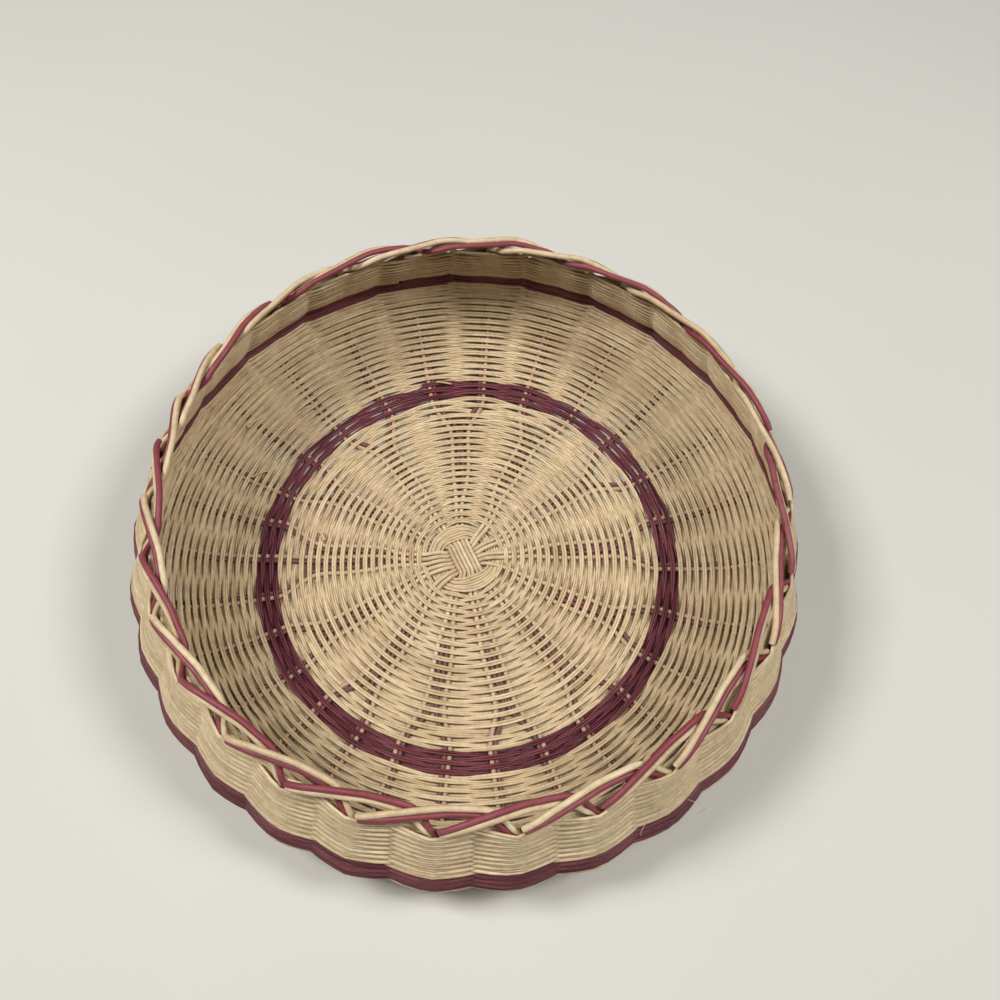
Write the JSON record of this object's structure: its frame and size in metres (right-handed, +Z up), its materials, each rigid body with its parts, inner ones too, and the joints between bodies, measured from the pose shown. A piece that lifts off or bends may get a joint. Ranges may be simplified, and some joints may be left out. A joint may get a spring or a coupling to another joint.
{
  "type": "round basket",
  "caption": "Low round basket woven from reed, with a flat base, a bulging wall that leans in at the top, dyed bands and a braided border.",
  "frame": {"origin": "centre of the base, on the surface the basket stands on", "axes": "+Z up out of the open top; -Y towards the viewer of the picture; +X to the right in it"},
  "size_m": [0.3126, 0.3131, 0.078],
  "materials": {
    "natural_reed": "matt natural reed",
    "natural_weave": "matt natural reed, fine weavers",
    "dyed_reed": "matt burgundy-dyed reed",
    "dyed_weave": "matt burgundy-dyed reed, fine weavers"
  },
  "bodies": {
    "root": {"base_dyed_band": "dyed_weave", "base_weave_inner": "natural_weave", "base_weave_outer": "natural_weave", "centre_locking_rounds": "natural_weave", "dyed_reed_01": "dyed_reed", "dyed_reed_02": "dyed_reed", "dyed_reed_03": "dyed_reed", "dyed_reed_04": "dyed_reed", "dyed_reed_05": "dyed_reed", "dyed_reed_06": "dyed_reed", "dyed_reed_07": "dyed_reed", "dyed_reed_08": "dyed_reed", "dyed_reed_09": "dyed_reed", "dyed_reed_10": "dyed_reed", "dyed_reed_11": "dyed_reed", "dyed_reed_12": "dyed_reed", "dyed_reed_13": "dyed_reed", "dyed_reed_14": "dyed_reed", "dyed_reed_15": "dyed_reed", "dyed_reed_16": "dyed_reed", "dyed_reed_17": "dyed_reed", "dyed_reed_18": "dyed_reed", "dyed_reed_19": "dyed_reed", "dyed_reed_20": "dyed_reed", "dyed_reed_21": "dyed_reed", "dyed_reed_22": "dyed_reed", "dyed_reed_23": "dyed_reed", "dyed_reed_24": "dyed_reed", "dyed_reed_25": "dyed_reed", "dyed_reed_26": "dyed_reed", "dyed_reed_27": "dyed_reed", "natural_reed_added": "natural_reed", "natural_reed_over_01": "natural_reed", "natural_reed_over_02": "natural_reed", "natural_reed_over_03": "natural_reed", "natural_reed_over_04": "natural_reed", "natural_reed_over_05": "natural_reed", "natural_reed_over_06": "natural_reed", "natural_reed_under_01": "natural_reed", "natural_reed_under_02": "natural_reed", "natural_reed_under_03": "natural_reed", "natural_reed_under_04": "natural_reed", "natural_reed_under_05": "natural_reed", "natural_reed_under_06": "natural_reed", "natural_reed_under_07": "natural_reed", "turn_weave": "natural_weave", "wall_dyed_band": "dyed_weave", "wall_weave_lower": "natural_weave", "wall_weave_upper": "natural_weave"}
  },
  "joints": []
}
